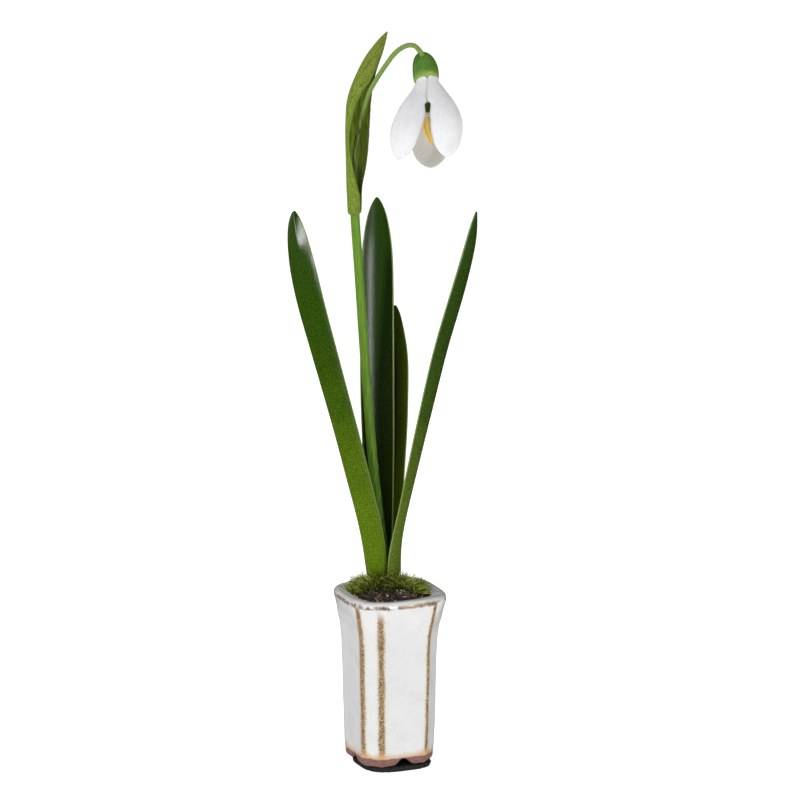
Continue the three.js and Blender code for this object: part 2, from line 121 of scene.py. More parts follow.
def add_studio():
    world = bpy.data.worlds.new("studio")
    world.use_nodes = True
    background = world.node_tree.nodes["Background"]
    background.inputs["Color"].default_value = (1, 1, 1, 1)
    background.inputs["Strength"].default_value = 0.12
    world.cycles_visibility.glossy = False  # nor from the room
    bpy.context.scene.world = world
    bpy.context.scene.view_settings.view_transform = "Standard"
    add_softbox("overhead", 0, 82, 2.0, 2.4, 2.4, 21)
    add_softbox("left_box", -40, 26, 1.0, 0.6, 0.2, 3.1)
    add_softbox("left_fill", -95, 10, 1.2, 0.3, 0.6, 2.3)
    add_softbox("right_strip", 42, 8, 0.9, 0.1, 0.37, 2.0)
    add_softbox("low_strip", 29, -9, 0.45, 0.03, 0.12, 0.46, lights_all=False)
    add_softbox("tip_strip", 29, 5, 0.5, 0.04, 0.08, 0.85, lights_all=False)


# ---- Modelling helpers ----


def only(piece):
    """Selects one piece alone and makes it active."""
    bpy.ops.object.select_all(action="DESELECT")
    piece.select_set(True)
    bpy.context.view_layer.objects.active = piece


@contextmanager
def edit_mode(piece):
    only(piece)
    bpy.ops.object.mode_set(mode="EDIT")
    yield
    bpy.ops.object.mode_set(mode="OBJECT")


@contextmanager
def mesh_of(piece):
    """A piece's mesh for editing in code, written back at the end."""
    mesh = bmesh.new()
    mesh.from_mesh(piece.data)
    mesh.normal_update()
    yield mesh
    mesh.to_mesh(piece.data)
    mesh.free()


def modify(piece, kind, **settings):
    """Adds a modifier to a piece and applies it."""
    only(piece)
    modifier = piece.modifiers.new(kind, kind)
    for name, value in settings.items():
        setattr(modifier, name, value)
    bpy.ops.object.modifier_apply(modifier=modifier.name)


def subdivide(piece, levels, smooth=True):
    kind = "CATMULL_CLARK" if smooth else "SIMPLE"
    modify(piece, "SUBSURF", levels=levels, render_levels=levels, subdivision_type=kind)


def smooth(piece, degrees=60):
    only(piece)
    bpy.ops.object.shade_smooth_by_angle(angle=math.radians(degrees))


def new_piece(name, vertices=(), faces=()):
    data = bpy.data.meshes.new(name)
    data.from_pydata([tuple(v) for v in vertices], [], [tuple(f) for f in faces])
    piece = bpy.data.objects.new(name, data)
    bpy.context.scene.collection.objects.link(piece)
    return piece


def copy_of(node, name):
    """A merged copy of a CAD node's mesh, as a new piece to refine."""
    piece = bpy.data.objects.new(name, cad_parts[node].data.copy())
    bpy.context.scene.collection.objects.link(piece)
    piece.data.materials.clear()
    with edit_mode(piece):
        bpy.ops.mesh.customdata_custom_splitnormals_clear()
        bpy.ops.mesh.select_all(action="SELECT")
        bpy.ops.mesh.remove_doubles(threshold=1e-6)
    return piece


def to_quads(piece):
    with edit_mode(piece):
        bpy.ops.mesh.select_all(action="SELECT")
        bpy.ops.mesh.tris_convert_to_quads(face_threshold=math.pi, shape_threshold=math.pi)


def show(piece, finish, slot, *nodes):
    """Gives a finished piece its material, and its place in the frame."""
    piece.data.materials.clear()
    piece.data.materials.append(finish)
    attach(piece, "root")
    if nodes:
        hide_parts(*nodes)
    return piece


def store(piece, name, values):
    """Keeps one number for each vertex, for the materials to read."""
    attribute = piece.data.attributes.new(name, "FLOAT", "POINT")
    attribute.data.foreach_set("value", np.asarray(values, dtype=np.float32))


def place(piece, values):
    piece.data.vertices.foreach_set("co", np.asarray(values, dtype=np.float32).ravel())
    piece.data.update()


def roughen(piece, amount, size, seed=0.0, share=lambda place: 1):
    """Moves each vertex along its normal by smooth noise."""
    moves = [
        (vertex.co + vertex.normal * (noise.noise(vertex.co / size + UP * seed) * amount * share(vertex.co)))[:]
        for vertex in piece.data.vertices
    ]
    place(piece, moves)


def ease(value, low, high):
    """A smooth step from 0 to 1 as the value goes from low to high."""
    share = min(1, max(0, (value - low) / (high - low)))
    return share * share * (3 - 2 * share)


# ---- Rings of a swept piece ----


def end_cap(mesh, facing):
    """The faces of the flat end that faces a direction."""
    outermost = max(mesh.verts, key=lambda vert: vert.co.dot(facing))
    level = [face for face in mesh.faces if face.normal.dot(facing) > 0.94]
    cap = [face for face in outermost.link_faces if face in level]
    for face in cap:
        beside = [other for edge in face.edges for other in edge.link_faces]
        cap += [other for other in beside if other in level and other not in cap]
    return cap


def walked(ring):
    """A ring's vertices in order round it."""
    members = set(ring)
    order = [ring[0]]
    while len(order) < len(ring):
        here = order[-1]
        for edge in here.link_edges:
            there = edge.other_vert(here)
            on_rim = any(not members.issuperset(face.verts) for face in edge.link_faces)
            if there in members and there not in order and on_rim:
                order.append(there)
                break
        else:
            raise ValueError("the ring is broken")
    return order


def beside(ring, previous):
    """The ring turned, and reversed if need be, to run beside the previous one."""
    turns = [way[i:] + way[:i] for way in (ring, ring[::-1]) for i in range(len(ring))]
    return min(turns, key=lambda turn: sum((a.co - b.co).length for a, b in zip(turn, previous)))


def rings_of(mesh, facing):
    """The rings of vertices of a swept piece, from the end that faces a direction."""
    found = {vert for face in end_cap(mesh, facing) for vert in face.verts}
    seen = set(found)
    rings = []
    while found:
        ring = walked(sorted(found, key=lambda vert: vert.index))
        rings.append(beside(ring, rings[-1]) if rings else ring)
        found = {edge.other_vert(vert) for vert in ring for edge in vert.link_edges} - seen
        seen |= found
    return rings


def centre_of(ring):
    return sum((vert.co for vert in ring), Vector()) / len(ring)


def mark_along(rings, along):
    """Stores how far along the sweep each ring is, in millimetres."""
    distance = 0
    for i, ring in enumerate(rings):
        if i:
            distance += (centre_of(ring) - centre_of(rings[i - 1])).length
        for vert in ring:
            vert[along] = distance / MM


def mark_sheet(piece, facing, towards):
    """Stores where each vertex of a swept sheet lies: along it, across it from -1 at one margin to 1 at the one
    towards a direction, and on which side, 0 for the hollow face and 1 for the round one."""
    with mesh_of(piece) as mesh:
        for name in ("along", "across", "side"):
            mesh.verts.layers.float.new(name)
        along, across, side = (mesh.verts.layers.float[name] for name in ("along", "across", "side"))
        rings = rings_of(mesh, facing)
        mark_along(rings, along)
        half = len(rings[0]) // 2
        spans = [
            sum((ring[j].co - ring[j - 1].co).length for ring in rings) for j in range(2 * half)
        ]
        first = min(range(half), key=lambda j: spans[j] + spans[j + half])
        faces = [[ring[first + j - 2 * half] for j in range(half)] for ring in rings]
        backs = [[ring[first - 1 - j] for j in range(half)] for ring in rings]
        widths = [
            sum((row[j].co - row[j - 1].co).length for row in rows for j in range(1, half))
            for rows in (faces, backs)
        ]
        forwards = sum((row[-1].co - row[0].co).dot(towards) for row in faces) > 0
        for rows, round_side in ((faces, widths[0] > widths[1]), (backs, widths[1] > widths[0])):
            for row in rows:
                for j, vert in enumerate(row):
                    share = 2 * j / (half - 1) - 1
                    vert[across] = share if forwards else -share
                    vert[side] = float(round_side)
    return piece


def mark_rod(piece, facing):
    """Stores how far along a swept rod each vertex is. The rod is plumped up, as subdividing will slim it."""
    with mesh_of(piece) as mesh:
        along = mesh.verts.layers.float.new("along")
        rings = rings_of(mesh, facing)
        mark_along(rings, along)
        grow = 3 / (2 + math.cos(math.tau / len(rings[0])))
        for ring in rings:
            centre = centre_of(ring)
            for vert in ring:
                vert.co = centre + (vert.co - centre) * grow
    return piece


def values_of(piece, name):
    values = np.empty(len(piece.data.vertices), dtype=np.float32)
    piece.data.attributes[name].data.foreach_get("value", values)
    return values


# ---- Material helpers ----


class Finish:
    """One material, built node by node. Its patterns are laid out in millimetres."""

    def __init__(self, name):
        self.material = bpy.data.materials.new(name)
        self.material.use_nodes = True
        self.nodes = self.material.node_tree.nodes
        self.links = self.material.node_tree.links
        self.shader = self.nodes["Principled BSDF"]

    def node(self, kind, inputs=(), **settings):
        made = self.nodes.new("ShaderNode" + kind)
        for name, value in settings.items():
            setattr(made, name, value)
        pairs = inputs.items() if isinstance(inputs, dict) else enumerate(inputs)
        for key, value in pairs:
            self.feed(made.inputs[key], value)
        return made

    def feed(self, socket, value):
        if isinstance(value, bpy.types.NodeSocket):
            self.links.new(value, socket)
        elif isinstance(value, tuple) and len(value) == 3 and socket.type == "RGBA":
            socket.default_value = (*value, 1)
        else:
            socket.default_value = value

    def spot(self, stretch=(1, 1, 1), turn=(0, 0, 0)):
        """Places on the object, in millimetres over a stretch."""
        coordinates = self.node("TexCoord").outputs["Object"]
        scale = tuple(1 / (MM * s) for s in stretch)
        return self.node("Mapping", {"Vector": coordinates, "Rotation": turn, "Scale": scale}).outputs[0]

    def attribute(self, name):
        return self.node("Attribute", attribute_name=name).outputs["Fac"]

    def sum(self, a, b, operation="ADD"):
        return self.node("Math", [a, b], operation=operation).outputs[0]

    def times(self, a, b):
        return self.sum(a, b, "MULTIPLY")

    def most(self, a, b):
        return self.sum(a, b, "MAXIMUM")

    def least(self, a, b):
        return self.sum(a, b, "MINIMUM")

    def size_of(self, a):
        return self.sum(a, 0.0, "ABSOLUTE")

    def span(self, value, low, high, start=0.0, end=1.0):
        """A smooth step from start to end as the value goes from low to high."""
        inputs = {"Value": value, "From Min": low, "From Max": high, "To Min": start, "To Max": end}
        return self.node("MapRange", inputs, interpolation_type="SMOOTHSTEP").outputs[0]

    def join(self, x, y, z=0.0):
        return self.node("CombineXYZ", [x, y, z]).outputs[0]

    def noise(self, at, size, detail=2.0, roughness=0.5, distortion=0.0):
        inputs = {
            "Vector": at, "Scale": 1 / size, "Detail": detail, "Roughness": roughness, "Distortion": distortion,
        }
        return self.node("TexNoise", inputs).outputs["Fac"]

    def cells(self, at, size, feature="F1"):
        made = self.node("TexVoronoi", {"Vector": at, "Scale": 1 / size}, feature=feature)
        return made.outputs["Distance"]

    def mix(self, share, a, b, blend="MIX"):
        made = self.node("Mix", data_type="RGBA", blend_type=blend)
        for socket, value in ((made.inputs[0], share), (made.inputs[6], a), (made.inputs[7], b)):
            self.feed(socket, value)
        return made.outputs[2]

    def ramp(self, value, *stops):
        made = self.node("ValToRGB", [value])
        elements = made.color_ramp.elements
        while len(elements) < len(stops):
            elements.new(1)
        for element, (position, colour) in zip(elements, stops):
            element.position = position
            element.color = (*colour, 1)
        return made.outputs[0]

    def bump(self, height, depth, strength=1.0):
        """Relief of a depth in millimetres."""
        inputs = {"Height": height, "Distance": depth * MM, "Strength": strength}
        return self.node("Bump", inputs).outputs[0]

    def done(self, **sockets):
        for name, value in sockets.items():
            self.feed(self.shader.inputs[name.replace("_", " ")], value)
        return self.material


# ---- Pot ----

EDGE_SHARE = 0.6263  # on an edge between a side and a corner facet, the lesser of |x| and |y| over the greater
FACET_REACH = 1.15 * math.sqrt(2)  # |x| + |y| on a corner facet, over a side's distance from the axis
CLAY_TOP = 4.9


def glaze_finish():
    """White glaze that breaks to tan along the edges and the lip, over a bare clay foot."""
    f = Finish("pot_glaze")
    at = f.spot()
    x, y, z = f.node("SeparateXYZ", [at]).outputs
    wide, deep = f.size_of(x), f.size_of(y)
    near, far = f.least(wide, deep), f.most(wide, deep)
    outwards = f.most(far, f.times(f.sum(wide, deep), 1 / FACET_REACH))

    # The worn edges: stripes 2 or 3 mm wide with grainy borders, that fade out below the lip. They are widest on
    # the left, and thin at the sides.
    from_edge = f.size_of(f.sum(near, f.times(far, EDGE_SHARE), "SUBTRACT"))
    facing = f.sum(f.times(x, FRONT.x), f.times(y, FRONT.y))
    width = f.times(f.span(x, -11.5, 4, 1.2, 0.72), f.span(f.size_of(facing), 2, 7, 0.4, 1))
    sway = f.sum(f.noise(f.spot((1, 1, 3)), 3.2), 0.5, "SUBTRACT")
    grit = f.sum(f.noise(at, 0.55, 3, 0.8), 0.5, "SUBTRACT")
    ragged = f.sum(f.sum(from_edge, width, "DIVIDE"), f.sum(f.times(sway, 1.1), f.times(grit, 2.4)))
    reach = f.sum(f.times(f.most(x, 0.0), 0.5), f.times(f.most(f.sum(f.times(x, -1.0), 9.0, "SUBTRACT"), 0.0), 0.5))
    fade = f.sum(f.sum(z, f.times(sway, 4)), reach, "SUBTRACT")
    outside = f.times(f.span(outwards, 12.3, 12.6), f.span(z, 61, 60.4))
    shaft = f.times(f.span(fade, 59.6, 54.6), outside)
    stripe = f.times(f.span(ragged, 1.6, 0.6), shaft)
    halo = f.times(f.span(ragged, 2.8, 0.9), f.times(shaft, 0.38))

    # The lip's outer edge, worn in patches.
    lip_sway = f.noise(at, 5.2, 2, 0.5)
    lip_height = f.size_of(f.sum(f.sum(z, 60.95, "SUBTRACT"), f.times(sway, 0.9)))
    lip_line = f.times(f.span(f.sum(lip_height, f.times(grit, 2)), 1.0, 0.3), f.span(outwards, 16.2, 16.6))
    lip_wear = f.span(f.sum(lip_sway, f.times(grit, 0.5)), 0.33, 0.43)
    lip = f.times(lip_line, lip_wear)

    mottle = f.noise(at, 5.5, 3, 0.55)
    cloud = f.sum(f.times(mottle, 0.35), f.times(f.noise(at, 0.7, 3, 0.8), 0.65))
    white = f.ramp(cloud, (0.34, (0.67, 0.67, 0.675)), (0.52, (0.745, 0.745, 0.742)), (0.68, (0.775, 0.773, 0.765)))
    # Painted light: the rim's top is painted whiter, as the light that falls on it.
    rim_top_painted_light = f.times(f.span(z, 60.4, 61.4), f.span(outwards, 17, 15.5))
    white = f.mix(f.times(rim_top_painted_light, 0.7), white, (0.9, 0.9, 0.9))
    speck = f.times(f.span(f.cells(at, 1.9), 0.11, 0.05), f.span(f.noise(at, 4), 0.5, 0.62))
    colour = f.mix(f.times(speck, 0.4), white, (0.36, 0.31, 0.26))
    colour = f.mix(halo, colour, (0.72, 0.6, 0.4))
    grain = f.noise(at, 0.6, 3, 0.85)
    tan = f.ramp(
        grain,
        (0.38, (0.08, 0.038, 0.013)),
        (0.47, (0.25, 0.145, 0.055)),
        (0.56, (0.4, 0.265, 0.115)),
        (0.66, (0.64, 0.5, 0.3)),
    )
    colour = f.mix(stripe, colour, tan)
    amber = f.ramp(
        f.sum(f.times(lip_sway, 0.5), f.times(grain, 0.5)),
        (0.44, (0.05, 0.027, 0.012)),
        (0.51, (0.18, 0.1, 0.038)),
        (0.59, (0.36, 0.21, 0.07)),
        (0.7, (0.64, 0.47, 0.22)),
    )
    colour = f.mix(f.times(lip, f.span(f.noise(at, 0.45, 2), 0.36, 0.5, 0.45, 1)), colour, amber)

    # The glaze stops a little above the foot, in an amber line that climbs at the edges.
    climb = f.times(f.span(from_edge, 4.5, 0.0), 1.1)
    level = f.sum(z, f.times(sway, 0.9))
    amber_line = f.span(f.sum(f.sum(level, f.times(grit, 1.2)), climb, "SUBTRACT"), CLAY_TOP + 2.6, CLAY_TOP - 0.4)
    colour = f.mix(f.times(amber_line, f.times(outside, 0.85)), colour, (0.62, 0.39, 0.17))
    clay = f.ramp(f.noise(at, 1.1, 4, 0.8), (0.3, (0.14, 0.06, 0.05)), (0.65, (0.28, 0.13, 0.11)))
    bare = f.span(f.sum(level, f.times(grit, 0.5)), CLAY_TOP + 0.3, CLAY_TOP - 0.1)
    colour = f.mix(bare, colour, clay)

    worn = f.most(stripe, f.times(lip, 0.5))
    roughness = f.sum(f.sum(0.13, f.times(worn, 0.32)), f.times(bare, 0.7))
    relief = f.sum(f.times(f.noise(at, 1.6, 2), 0.5), f.times(f.times(grain, f.most(worn, bare)), 0.7))
    coat = f.span(f.sum(worn, bare), 0.6, 0.1, 0, 0.8)
    return f.done(
        Base_Color=colour, Roughness=f.least(roughness, 0.9), Normal=f.bump(relief, 0.06),
        Coat_Weight=coat, Coat_Roughness=0.05,
    )


def rubber_finish():
    f = Finish("pad_rubber")
    at = f.spot()
    colour = f.ramp(f.noise(at, 0.8, 3, 0.7), (0.35, (0.009, 0.009, 0.01)), (0.7, (0.03, 0.028, 0.026)))
    relief = f.bump(f.noise(at, 0.4, 3, 0.7), 0.1)
    return f.done(Base_Color=colour, Roughness=0.8, Specular_IOR_Level=0.2, Normal=relief)


def rounder(at, share, power):
    """A place moved so that an octagon round the axis becomes rounder, in millimetres. A power of 2 is a circle."""
    x, y = abs(at.x), abs(at.y)
    size = max(x, y, (x + y) / FACET_REACH)
    round_size = (x**power + y**power) ** (1 / power)
    grow = (size / round_size) ** share
    return Vector((at.x * grow, at.y * grow, at.z))


def shape_lip(at, normal):
    """The lip flows round in a smooth curve, is nearly flat on top, and flares a little wider on the right."""
    outer_wall = 12.4 + 2.2 * ease(at.z, 50, 58)
    size = max(abs(at.x), abs(at.y), (abs(at.x) + abs(at.y)) / FACET_REACH)
    outside = ease(size, outer_wall, outer_wall + 1)
    at = rounder(at, (0.85 - 0.05 * outside) * ease(at.z, 53, 60), 3.2)
    grow = 1 + outside * (0.043 + 0.0009 * at.x) * ease(at.z, 48, 58.5)
    flat = ease(normal.z, 0.05, 0.3) * ease(size, 12.8, 13.6) * ease(size, 17, 16)
    lift = 0.9 * flat * max(0, 62.4 - at.z) * ease(at.z, 56, 58)
    return Vector((at.x * grow, at.y * grow, at.z + lift))


def build_pot():
    pot = copy_of("ceramic_pot", "pot_body")
    modify(pot, "REMESH", mode="VOXEL", voxel_size=0.42 * MM)
    modify(pot, "SMOOTH", factor=0.5, iterations=4)
    lip = pot.vertex_groups.new(name="lip")
    lip.add([vertex.index for vertex in pot.data.vertices if vertex.co.z > 59.5 * MM], 1, "REPLACE")
    modify(pot, "SMOOTH", factor=0.5, iterations=7, vertex_group="lip")
    place(pot, [shape_lip(vertex.co / MM, vertex.normal) * MM for vertex in pot.data.vertices])
    roughen(pot, 0.14 * MM, 12 * MM)
    roughen(pot, 0.04 * MM, 4 * MM, 4)
    smooth(pot, 180)
    show(pot, glaze_finish(), "glaze", "ceramic_pot")

    pad = copy_of("base_pad", "pad_body")
    modify(pad, "REMESH", mode="VOXEL", voxel_size=0.4 * MM)
    modify(pad, "SMOOTH", factor=0.5, iterations=2)
    inset = Vector((0.45, -1, 0))  # it was stuck on a little off centre
    place(pad, [(rounder(vertex.co / MM, 1, 3.3) + inset) * MM for vertex in pad.data.vertices])
    sides = lambda place: 0 if place.z < 0.3 * MM else 1
    roughen(pad, 0.45 * MM, 1.8 * MM, 7, sides)
    smooth(pad, 180)
    show(pad, rubber_finish(), "pad", "base_pad")


# ---- Soil ----

SOIL_EDGE = 60.6 * MM


def foam_finish():
    f = Finish("block_foam")
    at = f.spot()
    colour = f.ramp(f.cells(at, 0.8), (0.1, (0.035, 0.028, 0.02)), (0.6, (0.1, 0.075, 0.05)))
    return f.done(Base_Color=colour, Roughness=0.95, Normal=f.bump(f.cells(at, 0.8), 0.2))


def soil_finish():
    """Dark peat, with each crumb's own tone from near black through red-brown to cream."""
    f = Finish("soil_crumbs")
    at = f.spot()
    tone = f.sum(f.attribute("tone"), f.times(f.sum(f.noise(at, 0.5, 3), 0.5, "SUBTRACT"), 0.16))
    colour = f.ramp(
        tone,
        (0.0, (0.008, 0.006, 0.004)),
        (0.5, (0.032, 0.021, 0.012)),
        (0.72, (0.1, 0.058, 0.032)),
        (0.84, (0.21, 0.125, 0.07)),
        (0.93, (0.55, 0.42, 0.27)),
        (1.0, (0.8, 0.7, 0.54)),
    )
    return f.done(Base_Color=colour, Roughness=0.72, Normal=f.bump(f.noise(at, 0.25, 3, 0.7), 0.1))


def tree_of(piece):
    with mesh_of(piece) as mesh:
        return BVHTree.FromBMesh(mesh)


def drop_on(tree, x, y):
    """The point of a surface straight below a place, and its normal there."""
    return tree.ray_cast(Vector((x, y, 0.1)), Vector((0, 0, -1)))[:2]


def crumb_shapes():
    """A few lumpy crumbs, each as its vertices and faces."""
    shapes = []
    for seed in range(6):
        lump = bmesh.new()
        bmesh.ops.create_icosphere(lump, subdivisions=2 if seed < 2 else 1, radius=0.5)
        for vert in lump.verts:
            vert.co *= 1 + 0.75 * noise.noise(vert.co * 2.2 + Vector((seed * 7.3, 0, 0)))
        lump.verts.index_update()
        places = np.array([vert.co for vert in lump.verts])
        faces = [[vert.index for vert in face.verts] for face in lump.faces]
        shapes.append((places, faces))
        lump.free()
    return shapes


class Heap:
    """Collects many small shapes into one mesh, with numbers for each vertex."""

    def __init__(self, *names):
        self.vertices, self.faces = [], []
        self.numbers = {name: [] for name in names}

    def add(self, vertices, faces, **numbers):
        start = len(self.vertices)
        self.vertices += [tuple(vertex) for vertex in vertices]
        self.faces += [[start + i for i in face] for face in faces]
        for name, values in numbers.items():
            self.numbers[name] += list(values) if np.ndim(values) else [values] * len(vertices)

    def piece(self, name):
        made = new_piece(name, self.vertices, self.faces)
        for key, values in self.numbers.items():
            store(made, key, values)
        return made


def heaped(at):
    """The soil is heaped up in front of the leaves, in metres."""
    aside = max(0, abs(at.dot(RIGHT) / MM + 0.5) - 4.5)
    forward = at.dot(FRONT) / MM - 5.5
    apart = aside**2 + forward**2 * (1 if forward > 0 else 3)
    return at + UP * 3.4 * MM * math.exp(-apart / 18) * ease(at.z / MM, 58, 60.6)


def build_soil():
    soil = copy_of("soil", "soil_bed")
    modify(soil, "REMESH", mode="VOXEL", voxel_size=0.5 * MM)
    place(soil, [heaped(vertex.co) for vertex in soil.data.vertices])
    tops = lambda place: 1 if place.z > SOIL_EDGE - 1.5 * MM else 0
    roughen(soil, 0.8 * MM, 2.2 * MM, 3, tops)
    roughen(soil, 0.5 * MM, 0.8 * MM, 5, tops)
    store(soil, "tone", np.full(len(soil.data.vertices), 0.3))
    ground = tree_of(soil)
    finish = soil_finish()
    show(soil, finish, "soil", "soil")

    pick = random.Random(11)
    shapes = crumb_shapes()
    heap = Heap("tone")
    for _ in range(2300):
        x, y = (pick.uniform(-13.2, 13.2) * MM for _ in range(2))
        point, normal = drop_on(ground, x, y)
        if point is None or max(abs(x), abs(y), (abs(x) + abs(y)) / FACET_REACH) > 13.3 * MM:
            continue
        size = pick.choice((0.4, 0.5, 0.6, 0.8, 1, 1.3)) * MM
        stretch = Vector((pick.uniform(0.7, 1.7), pick.uniform(0.6, 1), pick.uniform(0.3, 0.9))) * size
        turn = Matrix.Rotation(pick.uniform(0, 6.3), 4, "Z") @ Matrix.Rotation(pick.uniform(-0.7, 0.7), 4, "X")
        grow = Matrix.Translation(point + UP * size * pick.uniform(-0.1, 0.35)) @ turn @ Matrix.Diagonal(stretch.to_4d())
        vertices, faces = pick.choice(shapes)
        tone = pick.choice((0.05, 0.2, 0.3, 0.42, 0.55, 0.68, 0.8)) if pick.random() < 0.84 else pick.uniform(0.88, 1)
        heap.add([grow @ Vector(v) for v in vertices], faces, tone=tone)
    crumbs = heap.piece("soil_crumbs")
    show(crumbs, finish, "soil")
    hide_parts("soil")
    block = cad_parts["planting_block"]
    block.data.materials[0] = foam_finish()
    return ground


# ---- Moss ----

FIBRE_RINGS = ((0, 1), (0.4, 0.85), (0.75, 0.55))


def moss_finish():
    """Fine fibres: dark where they root, as their own colour and as painted shade down among them, bright towards the
    tips, each of its own tone.
    """
    f = Finish("moss_fibres")
    tone, tip = f.attribute("tone"), f.attribute("tip")
    low = f.ramp(tone, (0.0, (0.008, 0.014, 0.002)), (1.0, (0.05, 0.06, 0.012)))
    high = f.ramp(
        tone,
        (0.0, (0.12, 0.05, 0.03)),
        (0.08, (0.05, 0.04, 0.01)),
        (0.2, (0.035, 0.045, 0.003)),
        (0.5, (0.1, 0.138, 0.005)),
        (0.78, (0.26, 0.32, 0.022)),
        (1.0, (0.64, 0.69, 0.18)),
    )
    grain = f.noise(f.spot(), 0.3, 2)
    # Darker towards the roots: partly the moss's own colour, partly painted shade among the fibres.
    colour = f.mix(f.span(f.sum(tip, f.times(grain, 0.3)), 0.1, 0.75), low, high)
    return f.done(Base_Color=colour, Roughness=0.6, Specular_IOR_Level=0.1)


def add_fibre(heap, root, direction, length, width, bend, **numbers):
    """A thin three-sided blade that bends as it goes and runs out to a point."""
    aside = direction.orthogonal().normalized()
    ways = [Matrix.Rotation(i * math.tau / 3, 3, direction) @ aside for i in range(3)]
    spine = lambda t: root + direction * length * t + bend * t * t
    vertices = [spine(t) + way * width / 2 * share for t, share in FIBRE_RINGS for way in ways]
    vertices.append(spine(1))
    faces = [(2, 1, 0)]
    for ring in range(len(FIBRE_RINGS) - 1):
        for i in range(3):
            a, b = 3 * ring + i, 3 * ring + (i + 1) % 3
            faces.append((a, b, b + 3, a + 3))
    last = len(vertices) - 4
    faces += [(last + i, last + (i + 1) % 3, last + 3) for i in range(3)]
    if "tip" in heap.numbers:
        numbers["tip"] = [t for t, _ in FIBRE_RINGS for _ in range(3)] + [1]
    heap.add(vertices, faces, **numbers)


def spots_on(piece, count, pick, keep):
    """Random points spread evenly over a piece's faces, with the surface's normals."""
    with mesh_of(piece) as mesh:
        bmesh.ops.triangulate(mesh, faces=mesh.faces)
        faces = [face for face in mesh.faces if keep(face)]
        chosen = pick.choices(faces, weights=[face.calc_area() for face in faces], k=count)
        spots = []
        for face in chosen:
            a, b, c = (vert.co for vert in face.verts)
            u, v = pick.random(), pick.random()
            if u + v > 1:
                u, v = 1 - u, 1 - v
            spots.append((a + (b - a) * u + (c - a) * v, face.normal.copy()))
    return spots


# Fringes of moss in front of the leaves: from and to where along the plant's right and front, and how many fibres
FRINGES = {
    "moss_left": ((-9.2, 3.8), (-4.2, 5.6), 560),
    "moss_right": ((9.2, 5), (2.4, 4.4), 700),
    "moss_front": ((-6, 6.2), (4, 6.6), 420),
    "moss_back": ((-6, -7), (2, -8), 60),
}


def add_fringe(heap, node, tone, ground, pick):
    """Moss that grows up against the leaves, and a few long pale fibres laid over it."""
    start, end, count = FRINGES[node]
    for i in range(count + 6):
        share = pick.random()
        x, y = (a + (b - a) * share + pick.gauss(0, 0.8) for a, b in zip(start, end))
        point = drop_on(ground, *(RIGHT * x + FRONT * y).to_2d() * MM)[0]
        if point is None:
            continue
        stray = Vector((pick.gauss(0, 1), pick.gauss(0, 1), pick.gauss(0, 0.6)))
        lock = noise.noise_vector(point / (2.2 * MM))
        if i < count:
            direction = (UP * 1.05 + FRONT * 0.1 + stray * 0.3 + lock * 0.7).normalized()
            length = pick.uniform(2.5, 7.5 if abs(x) < 7 else 6) * MM
            add_fibre(heap, point, direction, length, pick.uniform(0.2, 0.36) * MM, stray * length * 0.2 - UP * length * 0.25,
                      tone=min(1, max(0, pick.gauss(tone, 0.28))))
        else:
            direction = (UP * 0.55 + FRONT * 0.2 + RIGHT * pick.choice((-1, 1)) + stray * 0.2).normalized()
            length = pick.uniform(5, 8) * MM
            add_fibre(heap, point + UP * 2 * MM, direction, length, 0.26 * MM, stray * length * 0.1, tone=pick.uniform(0.85, 1))


def build_tuft(node, count, tone, ground, seed):
    """A low mound of moss, thick with fibres of about one tone that lean outwards from it."""
    pick = random.Random(seed)
    mound = copy_of(node, node + "_mound")
    low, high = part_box(node)
    middle = (low + high) / 2
    middle.z = SOIL_EDGE - 2 * MM
    spots = spots_on(mound, count, pick, lambda face: face.normal.z > -0.2 and face.calc_center_median().z > SOIL_EDGE)
    for vertex in mound.data.vertices:
        vertex.co = vertex.co.lerp(middle, 0.14)
    modify(mound, "REMESH", mode="VOXEL", voxel_size=0.5 * MM)
    roughen(mound, 0.7 * MM, 1.2 * MM, seed)
    heap = Heap("tone", "tip")
    heap.add(
        [v.co for v in mound.data.vertices], [p.vertices for p in mound.data.polygons], tone=0.2, tip=0.12
    )
    bpy.data.objects.remove(mound)
    for root, normal in spots:
        root = root.lerp(middle, 0.22)
        outwards = Vector((root.x, root.y, 0)).normalized()
        stray = Vector((pick.gauss(0, 1), pick.gauss(0, 1), pick.gauss(0, 0.6)))
        lock = noise.noise_vector(root / (2.2 * MM))
        direction = (normal * 0.4 + outwards * 0.1 + UP * 0.7 + stray * 0.32 + lock * 0.8).normalized()
        length = pick.choice((1.6, 2.3, 3, 3.9, 5.2)) * MM * pick.uniform(0.8, 1.1)
        width = pick.uniform(0.2, 0.38) * MM
        bend = (stray * 0.3 - UP * pick.uniform(0, 0.6)) * length * 0.5
        add_fibre(heap, root, direction, length, width, bend, tone=min(1, max(0, pick.gauss(tone, 0.28))))
    add_fringe(heap, node, tone, ground, pick)
    return heap.piece(node + "_fibres")


def build_moss(ground):
    finish = moss_finish()
    tufts = {
        "moss_left": (1500, 0.6), "moss_right": (1300, 0.7), "moss_front": (330, 0.34), "moss_back": (600, 0.5),
    }
    for seed, (node, (count, tone)) in enumerate(tufts.items()):
        show(build_tuft(node, count, tone, ground, seed + 20), finish, "moss", node)


# ---- Leaves, stem and stalk ----


def refine_sheet(node, name, facing, towards=RIGHT, levels=2):
    piece = mark_sheet(copy_of(node, name), facing, towards)
    to_quads(piece)
    subdivide(piece, levels)
    smooth(piece)
    return piece


def refine_rod(node, name, facing, levels=2):
    piece = mark_rod(copy_of(node, name), facing)
    to_quads(piece)
    subdivide(piece, levels)
    smooth(piece)
    return piece


